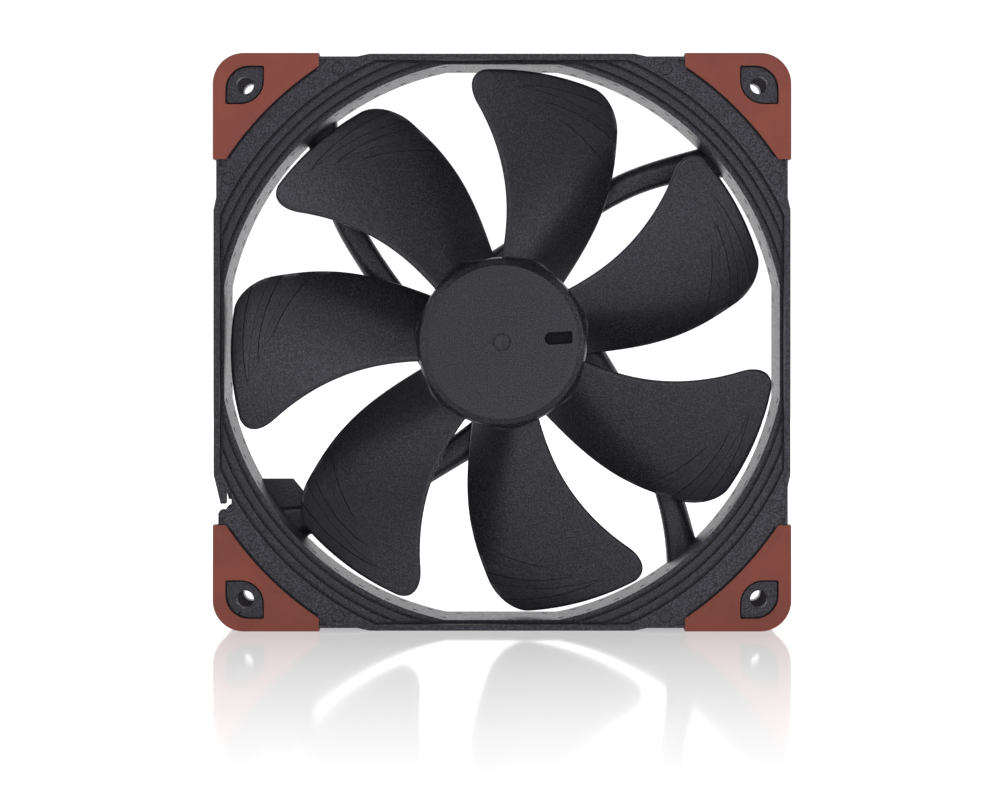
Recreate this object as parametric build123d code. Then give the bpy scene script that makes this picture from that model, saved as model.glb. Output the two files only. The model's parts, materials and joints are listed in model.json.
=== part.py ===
from build123d import *
import math
import os

# A 140 mm case fan that stands upright on one edge.
# X runs to the right, Y from the intake face to the exhaust face, and Z up.
# The origin is on the rotor's axis, half way through the depth. Lengths are in millimetres.

# ---- driving dimensions: the frame ----
SIZE = 140.0                # across the rubber corner pads
DEPTH = 25.0                # from the intake pads' faces to the exhaust pads' faces
HOLE_SPACING = 124.5        # between mounting holes
HOLE_R = 2.15
PAD_FACE = DEPTH / 2
FRAME_FACE = 12.2           # the frame's flat faces, just below the pads' faces
FLANGE = 4.2                # thickness of each of the two flanges
FLANGE_HALF = 69.15         # centre to a flange's outer edge, at the corners
SIDE_HALF = 69.8            # centre to the outer edge at the middle of each side
SIDE_FLAT = 32.0            # half the length of that wider stretch
SIDE_BLEND = 35.0           # where the edge is back to FLANGE_HALF
WALL_R = 70.9               # outside of the round duct wall
BORE_R = 68.9               # inside of the duct wall
BORE_FLAT = 67.5            # centre to the flats at the middle of each side of the duct
STEP_FLAT = 68.3            # centre to the straight ends of the inlet steps
STEP_RADII = (74.86, 72.7, 70.5)
STEP_DEPTH = 1.1
PIN_MARK_AT = (39.65, 66.2)
PIN_MARK_R = 1.5
PIN_MARK_DEPTH = 0.15
PAST = 1.0                  # how far a cutting shape runs past what it cuts

# ---- driving dimensions: the corner pads ----
PAD_CORNER_R = 7.5
PAD_LEG = 25.7              # length of a leg along the frame's edge
PAD_ARC_R = 80.2            # the curved inner edge, round the rotor's axis
PAD_BEVEL = 1.9
PAD_BEVEL_DROP = 0.6
PAD_SKIN = 1.2
PAD_LIP = 0.8               # thickness of the lip behind the flange
PAD_LIP_WIDTH = 3.0
PAD_EDGE_R = 0.5            # rounding of the outer edge of the pad's face
WINDOW = 9.4                # the leaf-shaped window round the screw hole
WINDOW_ROUND_R = 5.75
WINDOW_SHARP_R = 0.5
BOSS_GAP = 0.4
BOSS_SINK = 0.9             # the boss's face below the pad's face
RECESS_R = 79.9
RECESS_EXTRA = 1.85         # how far the recess shows past the end of a pad's leg
RECESS_STRIP = 0.75

# ---- driving dimensions: the struts and the motor's base ----
STRUT_FRONT = 8.6
STRUT_OUTER_ROUND_R = 3.2   # a strut's front is rounded more on its outer edge
STRUT_INNER_ROUND_R = 1.4
BASE_R = 21.0
BASE_FRONT = 10.0
BASE_RIM = 1.2
BASE_RIM_FRONT = 8.0
LABEL_R = 19.0
LABEL_GAP = 0.15
LABEL_SINK = 0.3
LABEL_THICK = 0.15
POST_R = 1.3
POST_AT_R = 14.6
GUSSET_R = 62.0             # inner edge of the plate beside the cable's strut
GUSSET_TOP = -34.1
CHANNEL = 2.6               # width of the cable's groove in the lower left strut
CHANNEL_DEPTH = 1.6

# ---- driving dimensions: the rotor ----
BLADES = 7
HUB_R = 20.7
HUB_FACE = -12.0
HUB_OPEN = 7.2
HUB_WALL = 1.3
HUB_EDGE_R = 1.9
TIP_R = 66.6
BLADE_THICK = 1.5
BLADE_CAMBER = 0.35         # 0 is a straight section, 1 a parabola
ROOT_R = 20.0               # where a blade is trimmed, inside the hub's wall
# radius, leading edge angle, trailing edge angle, leading edge y, trailing edge y
BLADE_SECTIONS = (
    (18.5, 39.6, -9.0, -8.6, 5.6),
    (29.5, 36.5, -3.4, -8.9, 5.6),
    (41.0, 38.1, 1.1, -9.1, 5.4),
    (53.0, 42.2, 6.7, -9.2, 5.0),
    (68.5, 49.5, 13.0, -9.2, 3.9),
)
CHORD_STEPS = 5
CHORD_OVERRUN = 0.06        # how far the blade's surface runs past its edges, before trimming
LEADING_TIP_R = 8.3
TRAILING_TIP_R = 7.5
SLOT_AT = (13.7, 1.0)
SLOT_LENGTH = 6.8
SLOT_WIDTH = 3.0
SLOT_DEPTH = 0.35

# ---- driving dimensions: the motor ----
SHAFT_R = 1.5
BEARING_GAP = 0.03
GROOVE_R = 1.15
YOKE_WALL = 1.0
MAGNET_WALL = 2.0
MAGNET_FRONT = -7.5
MAGNET_REAR = 6.0
TUBE_R = 5.2
TUBE_BORE_R = 3.8
TUBE_FRONT = -6.4
STATOR_R = 15.9
STATOR_FRONT = -4.0
STATOR_REAR = 3.0
STATOR_HUB_R = 7.2
TEETH = 6
TOOTH = 2.6
SHOE_R = 13.9
SHOE_ANGLE = 46.0
INSULATOR = 1.2
COIL_FROM_R = 7.9
COIL_TO_R = 13.1
COIL_WIDTH = 5.8
COIL_OVER = 1.0
BOARD_FRONT = 6.6
BOARD_THICK = 1.0
BOARD_R = 17.8

SIDES = (0, 90, 180, 270)
CORNERS = {"top_right": (1, 1), "top_left": (-1, 1), "bottom_left": (-1, -1), "bottom_right": (1, -1)}


# ---- helpers ----
def slab(sketch, y_front, y_rear):
    """A sketch drawn in X and Z, given thickness between two values of Y."""
    return extrude(Plane.XZ.offset(-y_rear) * sketch, amount=y_rear - y_front, dir=(0, -1, 0))


def tube(r_outer, r_inner, y_front, y_rear):
    """A round tube about the rotor's axis, or a disc where r_inner is 0."""
    outline = Circle(r_outer)
    if r_inner > 0:
        outline -= Circle(r_inner)
    return slab(outline, y_front, y_rear)


def turned(solid, degrees):
    """The solid turned about the rotor's axis, anticlockwise as seen from the intake."""
    return solid.rotate(Axis.Y, -degrees)


def square(half, corner_r=0.0):
    """A square sketch about the axis, from the centre to half on each side."""
    if corner_r > 0:
        return RectangleRounded(2 * half, 2 * half, corner_r)
    return Rectangle(2 * half, 2 * half)


def quadrant(low, high):
    """The square from low to high in both X and Z, in the top right corner."""
    middle = (low + high) / 2
    return Pos(middle, middle) * Rectangle(high - low, high - low)


def leaf(side):
    """The leaf-shaped outline round a screw hole, with two round and two sharp corners."""
    outline = Rectangle(side, side)
    diagonal = outline.vertices().sort_by(lambda v: v.X + v.Y)
    inset = (WINDOW - side) / 2
    outline = fillet([diagonal[0], diagonal[-1]], WINDOW_ROUND_R - inset)
    sharp = outline.vertices().sort_by(lambda v: v.X - v.Y)
    outline = fillet([sharp[0], sharp[-1]], WINDOW_SHARP_R - inset / 2)
    return Pos(HOLE_SPACING / 2, HOLE_SPACING / 2) * outline


def to_corner(solid, corner, rear):
    """A solid made for the top right corner of the intake face, mirrored to another corner."""
    side_x, side_z = CORNERS[corner]
    if side_x < 0:
        solid = mirror(solid, about=Plane.YZ)
    if side_z < 0:
        solid = mirror(solid, about=Plane.XY)
    if rear:
        solid = mirror(solid, about=Plane.XZ)
    return solid


# ---- the frame ----
def flange_outline():
    outline = square(FLANGE_HALF, PAD_CORNER_R - (SIZE / 2 - FLANGE_HALF))
    inner = FLANGE_HALF - 10
    for turn in SIDES:
        bulge = Polygon(
            (-SIDE_BLEND, FLANGE_HALF), (-SIDE_FLAT, SIDE_HALF), (SIDE_FLAT, SIDE_HALF),
            (SIDE_BLEND, FLANGE_HALF), (SIDE_BLEND, inner), (-SIDE_BLEND, inner), align=None)
        outline += Rot(0, 0, turn) * bulge
    return outline


def duct_bore():
    return slab(Circle(BORE_R) & square(BORE_FLAT), -FRAME_FACE - PAST, FRAME_FACE + PAST)


def strut_outline():
    """One curved strut, seen from the intake: the upper right one."""
    upper = Spline((-9.0, 18.4), (2.1, 25.8), (17.2, 34.9), (28.3, 41.5), (40.0, 45.9), (50.8, 48.9))
    lower = Spline((57.2, 41.3), (44.5, 40.0), (34.2, 37.0), (24.4, 31.9), (14.9, 25.4), (6.0, 18.6))
    edges = [upper, Line(upper @ 1, lower @ 0), lower, Line(lower @ 1, upper @ 0)]
    return make_face(edges)


def strut():
    """The upper right strut, with both long edges of its front rounded."""
    solid = slab(strut_outline(), STRUT_FRONT, FRAME_FACE)
    for radius, side in ((STRUT_OUTER_ROUND_R, 0), (STRUT_INNER_ROUND_R, -1)):
        front = solid.faces().sort_by(Axis.Y)[0]
        long_edges = front.edges().sort_by(SortBy.LENGTH)[-2:]
        across = sorted(long_edges, key=lambda edge: edge.center().X - edge.center().Z)
        solid = fillet(across[side], radius)
    return solid


def cable_gusset():
    """The plate in the lower left of the exhaust side, beside the cable's strut."""
    reach = 80.0
    from_angle = math.degrees(math.asin(-GUSSET_TOP / GUSSET_R))
    chord = Rot(0, 0, 180 + (from_angle + 45) / 2) * Pos(GUSSET_R + reach / 2, 0) * Rectangle(reach, reach)
    below = Pos(-reach / 2, GUSSET_TOP - reach / 2) * Rectangle(reach, reach)
    lower_left = Rot(0, 0, 45) * Pos(-reach / 2, reach / 2) * Rectangle(reach, reach)
    return slab(chord & below & lower_left & Circle(BORE_R + PAST), BASE_FRONT, FRAME_FACE)


def cable_notch():
    """The hooked notch in the left edge of both flanges, which holds the fan's lead."""
    outline = Polygon(
        (-72.0, -32.0), (-69.8, -32.0), (-68.1, -39.1), (-66.9, -39.1), (-66.9, -36.3), (-65.5, -36.3),
        (-65.5, -40.5), (-68.0, -40.5), (-68.65, -41.3), (-68.65, -44.2), (-72.0, -44.2), align=None)
    return slab(outline, -FRAME_FACE - PAST, FRAME_FACE + PAST)


def corner_recess():
    """What a corner pad needs cut away from the intake flange, in the top right corner."""
    past = SIZE / 2 + PAST
    pad_from = SIZE / 2 - PAD_LEG
    under_pad = quadrant(pad_from, past)
    past_the_ends = quadrant(pad_from - RECESS_EXTRA, FLANGE_HALF - RECESS_STRIP)
    boss = leaf(WINDOW - 2 * BOSS_GAP)
    floor = -PAD_FACE + PAD_SKIN
    deep = slab((under_pad + past_the_ends) - Circle(RECESS_R) - boss, -FRAME_FACE - PAST, floor)
    shallow = slab(boss, -FRAME_FACE - PAST, -PAD_FACE + BOSS_SINK)
    hole = Pos(HOLE_SPACING / 2, HOLE_SPACING / 2) * Circle(HOLE_R)
    return [deep, shallow, slab(hole, -FRAME_FACE - PAST, 0)]


def motor_base():
    """The round base, its rim, the posts for the circuit board and the hole for the bearing tube."""
    base = tube(BASE_R, 0, BASE_FRONT, FRAME_FACE)
    base += tube(BASE_R, BASE_R - BASE_RIM, BASE_RIM_FRONT, BASE_FRONT)
    for turn in (30, 150, 270):
        post = slab(Pos(POST_AT_R, 0) * Circle(POST_R), BOARD_FRONT + BOARD_THICK, BASE_FRONT)
        base += turned(post, turn)
    base -= tube(LABEL_R + LABEL_GAP, 0, FRAME_FACE - LABEL_SINK, FRAME_FACE + PAST)
    base -= tube(TUBE_R, 0, BASE_FRONT - PAST, FRAME_FACE + PAST)
    return base


def frame():
    flanges = slab(flange_outline(), -FRAME_FACE, -FRAME_FACE + FLANGE)
    flanges += slab(flange_outline(), FRAME_FACE - FLANGE, FRAME_FACE)
    body = flanges + slab(Circle(WALL_R) & square(SIDE_HALF), -FRAME_FACE, FRAME_FACE)
    body -= duct_bore()
    for number, radius in enumerate(STEP_RADII, 1):
        step = Circle(radius) & square(STEP_FLAT)
        body -= slab(step, -FRAME_FACE - PAST, -FRAME_FACE + number * STEP_DEPTH)
    for corner in CORNERS:
        for rear in (False, True):
            for cut in corner_recess():
                body -= to_corner(cut, corner, rear)
    for turn in SIDES:
        for side in (-1, 1):
            mark = Pos(side * PIN_MARK_AT[0], PIN_MARK_AT[1]) * Circle(PIN_MARK_R)
            cut = slab(mark, -FRAME_FACE - PAST, -FRAME_FACE + PIN_MARK_DEPTH)
            body -= turned(cut, turn)
    body -= cable_notch()
    arms = [turned(strut(), turn) for turn in SIDES]
    inside_wall = tube(BORE_R + PAST, BASE_R - BASE_RIM, STRUT_FRONT - PAST, FRAME_FACE + PAST)
    for arm in arms:
        body += arm & inside_wall
    body += cable_gusset()
    body += motor_base()
    body -= cable_channel()
    return body


def cable_channel():
    """The groove for the lead, in the exhaust side of the lower left strut."""
    line = ThreePointArc((-5.4, -22.6), (-25.6, -36.6), (-49.8, -44.4))
    path = make_face(offset(line, CHANNEL / 2, side=Side.BOTH))
    return slab(path, FRAME_FACE - CHANNEL_DEPTH, FRAME_FACE + PAST)


# ---- the corner pads ----
def corner_pad():
    """The rubber pad of the top right corner of the intake face."""
    half = SIZE / 2
    start = half - PAD_LEG
    corner = quadrant(start, half) & square(half, PAD_CORNER_R)
    skin_outline = corner - Circle(PAD_ARC_R)
    skin = slab(skin_outline - leaf(WINDOW), -PAD_FACE, -PAD_FACE + PAD_SKIN)
    bevel = Polygon(
        (PAD_ARC_R - PAST, -PAD_FACE - PAST), (PAD_ARC_R + PAD_BEVEL, -PAD_FACE - PAST),
        (PAD_ARC_R + PAD_BEVEL, -PAD_FACE), (PAD_ARC_R, -PAD_FACE + PAD_BEVEL_DROP),
        (PAD_ARC_R - PAST, -PAD_FACE + PAD_BEVEL_DROP), align=None)
    skin -= revolve(bevel, Axis.Y)
    flange_back = -FRAME_FACE + FLANGE
    skirt_outline = corner - square(FLANGE_HALF, PAD_CORNER_R - (half - FLANGE_HALF))
    skirt = slab(skirt_outline, -PAD_FACE + PAD_SKIN, flange_back)
    lip_outline = corner - square(half - PAD_LIP_WIDTH, PAD_CORNER_R - PAD_LIP_WIDTH)
    lip = slab(lip_outline, flange_back, flange_back + PAD_LIP)
    pad = skin + skirt + lip
    return fillet(outer_edges(pad, half), PAD_EDGE_R)


def outer_edges(pad, half):
    """The edges of a pad's face that run along the fan's outside and round its corner."""
    found = []
    for edge in pad.edges():
        middle = edge.center()
        on_face = middle.Y < -PAD_FACE + 0.01
        on_side = max(middle.X, middle.Z) > half - 0.01
        on_corner = min(middle.X, middle.Z) > half - PAD_LIP_WIDTH
        if on_face and (on_side or on_corner):
            found.append(edge)
    return found


# ---- the rotor ----
def blade_surface():
    """The middle surface of one blade, as a spline surface through its sections."""
    rows = []
    for radius, lead, trail, y_lead, y_trail in BLADE_SECTIONS:
        row = []
        for step in range(CHORD_STEPS):
            share = -CHORD_OVERRUN + (1 + 2 * CHORD_OVERRUN) * step / (CHORD_STEPS - 1)
            angle = math.radians(lead + (trail - lead) * share)
            curve = (1 - BLADE_CAMBER) * share + BLADE_CAMBER * share ** 2
            y = y_lead + (y_trail - y_lead) * curve
            row.append(Vector(radius * math.cos(angle), y, radius * math.sin(angle)))
        rows.append(row)
    return Face.make_surface_from_array_of_points(rows)


def blade_outline():
    """One blade's outline, seen from the intake, with both corners of its tip rounded."""
    def on_edge(radius, degrees):
        angle = math.radians(degrees)
        return (radius * math.cos(angle), radius * math.sin(angle))

    lead = Spline([on_edge(section[0], section[1]) for section in BLADE_SECTIONS])
    trail = Spline([on_edge(section[0], section[2]) for section in reversed(BLADE_SECTIONS)])
    tip = BLADE_SECTIONS[-1]
    across_tip = ThreePointArc(lead @ 1, on_edge(tip[0], (tip[1] + tip[2]) / 2), trail @ 0)
    outline = make_face([lead, across_tip, trail, Line(trail @ 1, lead @ 0)])
    outline = outline & (Circle(TIP_R) - Circle(ROOT_R))
    outline = fillet(tip_corners(outline)[0], TRAILING_TIP_R)
    return fillet(tip_corners(outline)[-1], LEADING_TIP_R)


def tip_corners(outline):
    """The outline's corners on the tip circle, from the trailing side to the leading side."""
    on_tip = [v for v in outline.vertices() if math.hypot(v.X, v.Y) > TIP_R - 0.01]
    return sorted(on_tip, key=lambda v: math.atan2(v.Y, v.X))


def blade():
    sheet = Solid.thicken(blade_surface(), BLADE_THICK / 2) + Solid.thicken(blade_surface(), -BLADE_THICK / 2)
    prism = slab(blade_outline(), -PAD_FACE, PAD_FACE)
    return sheet & prism


def hub():
    cup = tube(HUB_R, 0, HUB_FACE, HUB_OPEN)
    front = cup.faces().sort_by(Axis.Y)[0]
    cup = fillet(front.edges(), HUB_EDGE_R)
    cup -= tube(HUB_R - HUB_WALL, 0, HUB_FACE + HUB_WALL, HUB_OPEN + PAST)
    slot = Pos(*SLOT_AT) * SlotOverall(SLOT_LENGTH, SLOT_WIDTH)
    return cup - slab(slot, HUB_FACE - PAST, HUB_FACE + SLOT_DEPTH)


def impeller():
    rotor = hub()
    one = blade()
    for number in range(BLADES):
        rotor += turned(one, number * 360 / BLADES)
    return rotor


def rotor_yoke():
    outer = HUB_R - HUB_WALL
    top = HUB_FACE + HUB_WALL
    cup = tube(outer, 0, top, HUB_OPEN - 0.4)
    cup -= tube(outer - YOKE_WALL, 0, top + YOKE_WALL, HUB_OPEN + PAST)
    return cup - tube(SHAFT_R * 2, 0, top - PAST, top + YOKE_WALL + PAST)


def magnet_ring():
    outer = HUB_R - HUB_WALL - YOKE_WALL
    return tube(outer, outer - MAGNET_WALL, MAGNET_FRONT, MAGNET_REAR)


def shaft_bush():
    top = HUB_FACE + HUB_WALL
    bush = tube(SHAFT_R * 2, SHAFT_R, top, top + YOKE_WALL)
    return bush + tube(SHAFT_R * 2.4, SHAFT_R, top + YOKE_WALL, TUBE_FRONT - 0.5)


CLIP_FRONT = 8.2
CLIP_THICK = 0.5
THRUST_FRONT = 10.0


def shaft():
    rod = tube(SHAFT_R, 0, HUB_FACE + HUB_WALL, THRUST_FRONT - 0.2)
    rod = chamfer(rod.faces().sort_by(Axis.Y)[-1].edges(), 0.3)
    return rod - tube(SHAFT_R + PAST, GROOVE_R, CLIP_FRONT, CLIP_FRONT + CLIP_THICK)


def retaining_clip():
    clip = tube(SHAFT_R + 1.1, GROOVE_R, CLIP_FRONT, CLIP_FRONT + CLIP_THICK)
    gap = Pos(SHAFT_R + 1, 0) * Rectangle(2 * SHAFT_R + 2, 1.2)
    return clip - slab(gap, CLIP_FRONT - PAST, CLIP_FRONT + CLIP_THICK + PAST)


# ---- the bearing ----
def bearing_tube():
    cup = tube(TUBE_R, TUBE_BORE_R, TUBE_FRONT, THRUST_FRONT)
    return cup + tube(TUBE_R, 0, THRUST_FRONT + 0.6, FRAME_FACE - LABEL_SINK) + tube(
        TUBE_R, TUBE_BORE_R, THRUST_FRONT, THRUST_FRONT + 0.6)


def thrust_plate():
    return tube(TUBE_BORE_R, 0, THRUST_FRONT, THRUST_FRONT + 0.6)


def sleeve_bearing():
    sleeve = tube(TUBE_BORE_R, SHAFT_R + BEARING_GAP, TUBE_FRONT + 0.5, CLIP_FRONT - 0.6)
    return sleeve


def oil_seal():
    return tube(TUBE_BORE_R, SHAFT_R + 0.4, TUBE_FRONT, TUBE_FRONT + 0.5)


# ---- the stator ----
def teeth_outline(hub_r, outer_r, shoe_from):
    outline = Circle(hub_r)
    shoe_ring = Circle(outer_r) - Circle(shoe_from)
    for number in range(TEETH):
        turn = Rot(0, 0, number * 360 / TEETH)
        outline += turn * Pos(outer_r / 2, 0) * Rectangle(outer_r - 0.6, TOOTH)
        reach = 2 * outer_r
        half = math.radians(SHOE_ANGLE / 2)
        wedge = Polygon((0, 0), (reach, -reach * math.tan(half)), (reach, reach * math.tan(half)), align=None)
        outline += turn * (shoe_ring & wedge)
    return outline - Circle(TUBE_R)


def stator_core():
    return slab(teeth_outline(STATOR_HUB_R, STATOR_R, SHOE_R), STATOR_FRONT, STATOR_REAR)


def stator_insulator(rear):
    outline = teeth_outline(STATOR_HUB_R, STATOR_R - 0.4, SHOE_R - 0.3)
    if rear:
        return slab(outline, STATOR_REAR, STATOR_REAR + INSULATOR)
    return slab(outline, STATOR_FRONT - INSULATOR, STATOR_FRONT)


def coil(number):
    """The winding round one tooth and the insulators on it."""
    inner_front = STATOR_FRONT - INSULATOR
    inner_rear = STATOR_REAR + INSULATOR
    middle = (COIL_FROM_R + COIL_TO_R) / 2
    length = COIL_TO_R - COIL_FROM_R
    outside = slab(Pos(middle, 0) * Rectangle(length, COIL_WIDTH), inner_front - COIL_OVER, inner_rear + COIL_OVER)
    outside = fillet(outside.edges().filter_by(Axis.X), COIL_OVER * 0.9)
    inside = slab(Pos(middle, 0) * Rectangle(length + PAST, TOOTH), inner_front, inner_rear)
    return turned(outside - inside, number * 360 / TEETH)


# ---- the circuit board ----
def on_board(radius, degrees, length, width, y_front, y_rear):
    block = slab(Pos(radius, 0) * Rectangle(length, width), y_front, y_rear)
    return turned(block, degrees)


PIN_ANGLES = (30, 150, 270)
PIN_AT_R = 6.5
PIN_R = 0.35
BOARD_REAR = BOARD_FRONT + BOARD_THICK


def circuit_board():
    board = tube(BOARD_R, TUBE_R + 0.2, BOARD_FRONT, BOARD_REAR)
    for turn in PIN_ANGLES:
        hole = slab(Pos(PIN_AT_R, 0) * Circle(PIN_R), BOARD_FRONT - PAST, BOARD_REAR + PAST)
        board -= turned(hole, turn)
    return board


def winding_pins():
    pins = []
    for turn in PIN_ANGLES:
        pin = slab(Pos(PIN_AT_R, 0) * Circle(PIN_R), STATOR_REAR + INSULATOR, BOARD_REAR + 0.5)
        pins.append(turned(pin, turn))
    return Compound(children=pins)


def driver_ic():
    return on_board(11.0, 210, 4.0, 5.0, BOARD_REAR, BOARD_REAR + 1.2)


def hall_sensor():
    return on_board(14.9, 90, 1.3, 2.9, BOARD_FRONT - 0.9, BOARD_FRONT)


def capacitors():
    return Compound(children=[on_board(11.5, turn, 1.6, 3.2, BOARD_REAR, BOARD_REAR + 1.4) for turn in (75, 105)])


def resistors():
    turns = (330, 345, 0, 15)
    return Compound(children=[on_board(12.5, turn, 0.8, 1.6, BOARD_REAR, BOARD_REAR + 0.5) for turn in turns])


def rear_label():
    label_rear = FRAME_FACE - LABEL_SINK + LABEL_THICK
    return tube(LABEL_R, 0, FRAME_FACE - LABEL_SINK, label_rear)


# ---- writing the parts ----
def all_parts():
    parts = {
        "frame": frame(),
        "impeller": impeller(),
        "rotor_yoke": rotor_yoke(),
        "magnet_ring": magnet_ring(),
        "shaft": shaft(),
        "shaft_bush": shaft_bush(),
        "retaining_clip": retaining_clip(),
        "bearing_tube": bearing_tube(),
        "sleeve_bearing": sleeve_bearing(),
        "thrust_plate": thrust_plate(),
        "oil_seal": oil_seal(),
        "stator_core": stator_core(),
        "stator_insulator_front": stator_insulator(rear=False),
        "stator_insulator_rear": stator_insulator(rear=True),
        "circuit_board": circuit_board(),
        "driver_ic": driver_ic(),
        "hall_sensor": hall_sensor(),
        "capacitors": capacitors(),
        "resistors": resistors(),
        "winding_pins": winding_pins(),
        "rear_label": rear_label(),
    }
    for number in range(TEETH):
        parts[f"coil_{number + 1}"] = coil(number)
    pad = corner_pad()
    for corner in CORNERS:
        parts[f"pad_front_{corner}"] = to_corner(pad, corner, rear=False)
        parts[f"pad_rear_{corner}"] = to_corner(pad, corner, rear=True)
    return parts


os.makedirs("parts", exist_ok=True)
for name, solid in all_parts().items():
    export_step(solid, f"parts/{name}.step")
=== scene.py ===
import bpy
import bmesh
import json
import math
import numpy as np
from mathutils import Matrix, Vector


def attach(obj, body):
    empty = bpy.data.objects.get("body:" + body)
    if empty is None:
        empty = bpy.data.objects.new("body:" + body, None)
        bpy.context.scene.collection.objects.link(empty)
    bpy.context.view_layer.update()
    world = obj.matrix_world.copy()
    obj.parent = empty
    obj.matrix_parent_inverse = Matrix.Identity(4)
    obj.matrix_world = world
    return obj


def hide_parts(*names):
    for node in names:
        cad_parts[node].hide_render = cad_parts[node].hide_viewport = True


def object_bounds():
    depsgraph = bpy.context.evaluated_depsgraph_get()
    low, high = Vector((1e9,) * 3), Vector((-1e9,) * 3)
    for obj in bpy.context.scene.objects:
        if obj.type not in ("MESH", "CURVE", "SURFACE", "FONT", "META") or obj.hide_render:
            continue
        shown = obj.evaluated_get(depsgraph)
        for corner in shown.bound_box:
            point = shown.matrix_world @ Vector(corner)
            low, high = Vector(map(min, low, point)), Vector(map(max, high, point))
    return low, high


# A 140 mm case fan. Lengths below are in millimetres unless a name says otherwise, and
# MM turns them into Blender's metres. Y runs from the intake face to the exhaust face.
MM = 0.001

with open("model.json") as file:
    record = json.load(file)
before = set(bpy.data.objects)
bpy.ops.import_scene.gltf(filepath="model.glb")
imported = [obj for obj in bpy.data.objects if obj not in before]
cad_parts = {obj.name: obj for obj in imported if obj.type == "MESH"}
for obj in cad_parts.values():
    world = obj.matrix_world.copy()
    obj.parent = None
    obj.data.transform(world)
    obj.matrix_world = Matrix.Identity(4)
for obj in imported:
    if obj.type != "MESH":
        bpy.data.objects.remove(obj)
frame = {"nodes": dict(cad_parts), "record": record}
cad_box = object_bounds()
nodes = frame["nodes"]

# ---- driving dimensions, the same as the CAD model's ----
BLADES = 7
HUB_R = 20.7
HUB_FACE = -12.0
HUB_OPEN = 7.2
HUB_INNER_R = 19.4
TIP_R = 66.6
CAMBER = 0.35
# radius, leading edge angle, trailing edge angle, leading edge y, trailing edge y
SECTIONS = (
    (18.5, 39.6, -9.0, -8.6, 5.6),
    (29.5, 36.5, -3.4, -8.9, 5.6),
    (41.0, 38.1, 1.1, -9.1, 5.4),
    (53.0, 42.2, 6.7, -9.2, 5.0),
    (68.5, 49.5, 13.0, -9.2, 3.9),
)

# ---- the blades' finer shape ----
LEAD_TIP_R = 8.3            # rounding of the tip's two corners
TRAIL_TIP_R = 7.5
LEAD_HALF = 0.78            # half the blade's thickness at its two edges
TRAIL_HALF = 0.45
RIM = 1.2                   # the strip along each edge that has closer columns
ROOT_INSIDE_R = 20.0        # the blade's root ends inside the hub's wall
# each channel: where it starts, as a share of the chord and a radius, then how its outer and
# inner edges move away from there: the slope and the bend over the rest of the chord
CHANNELS = (
    (0.272, 62.6, (3.1, -2.4), (-1.9, -1.15)),
    (0.394, 59.7, (0.2, -3.2), (-5.0, -2.0)),
    (0.524, 56.5, (-6.0, -1.3), (-13.3, 2.2)),
)
CHANNEL_RISE = 2.4          # how steeply the line in front of each channel's start climbs to it
CHANNEL_DEPTH = 0.34
CHANNEL_WALL = 0.2          # width of a channel's side walls
CHANNEL_WALL_SHARE = 0.4    # the walls are no wider than this share of the channel
CHANNEL_SLOPE = 0.6         # a channel is no deeper than this share of its width
CHANNEL_DEAD = 0.06         # a channel narrower than this has no depth
CHANNEL_LEAST = 0.04        # least distance between the rows at a channel's two edges
OUTER_SHARE = 0.8           # depth beside a channel's outer edge, as a share of the inner one's
# rows of points up to each mark: from the root, then wall, floor, wall and the land between
CHANNEL_STEPS = (22, 1, 3, 1, 4, 1, 3, 1, 3, 1, 3, 1)
# the rows from the last channel to the tip, and the columns in each edge strip
TIP_SHARES = (0.2, 0.4, 0.58, 0.72, 0.82, 0.89, 0.94, 0.97, 0.99, 1.0)
STRIP_PLACES = (0.0, 0.03, 0.12, 0.28, 0.5, 0.8)
CHORD_COLUMNS = 34
EDGE_EASE = 0.6             # the channels and fillets fade out over this much of each edge
# the fillets at the hub: one size on the pressure side, and a hump along the chord on the other
PRESSURE_FILLET = 0.9
FILLET_LEAST = 0.3
FILLET_HUMP = 1.3
FILLET_MIDDLE = 0.48
FILLET_REACH_LEAD = 0.25
FILLET_REACH_TRAIL = 0.18
FILLET_STEPS = 8


# ---- small helpers ----
def lagrange(column):
    """A polynomial through one column of the blade's sections, as a function of radius."""
    radii = [section[0] for section in SECTIONS]
    values = [section[column] for section in SECTIONS]
    return np.poly1d(np.polyfit(radii, values, len(SECTIONS) - 1))


def link_object(name, data):
    """A new object in the scene, with this mesh, light or camera."""
    piece = bpy.data.objects.new(name, data)
    bpy.context.scene.collection.objects.link(piece)
    return piece


def shade(mesh, sharp_degrees):
    """Smooth shading, apart from edges that turn more than an angle."""
    mesh.shade_smooth()
    mesh.set_sharp_from_angle(angle=math.radians(sharp_degrees))


def new_object(name, verts, faces, sharp_degrees=35.0):
    """A mesh object from points in millimetres, with clean outward normals."""
    mesh = bpy.data.meshes.new(name)
    mesh.from_pydata([(x * MM, y * MM, z * MM) for x, y, z in verts], [], faces)
    return finish_mesh(name, mesh, sharp_degrees)


def finish_mesh(name, mesh, sharp_degrees):
    """An object with this mesh, cleaned and freed of normals that cuts would leave wrong."""
    if "custom_normal" in mesh.attributes:
        mesh.attributes.remove(mesh.attributes["custom_normal"])
    work = bmesh.new()
    work.from_mesh(mesh)
    bmesh.ops.remove_doubles(work, verts=work.verts, dist=1e-7)
    bmesh.ops.dissolve_degenerate(work, dist=1e-8, edges=work.edges)
    bmesh.ops.recalc_face_normals(work, faces=work.faces)
    work.to_mesh(mesh)
    work.free()
    shade(mesh, sharp_degrees)
    return link_object(name, mesh)


def merged(shapes):
    """Several shapes of points and faces, as one."""
    all_verts = []
    all_faces = []
    for verts, faces in shapes:
        start = len(all_verts)
        all_verts += verts
        all_faces += [tuple(index + start for index in face) for face in faces]
    return all_verts, all_faces


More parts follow.
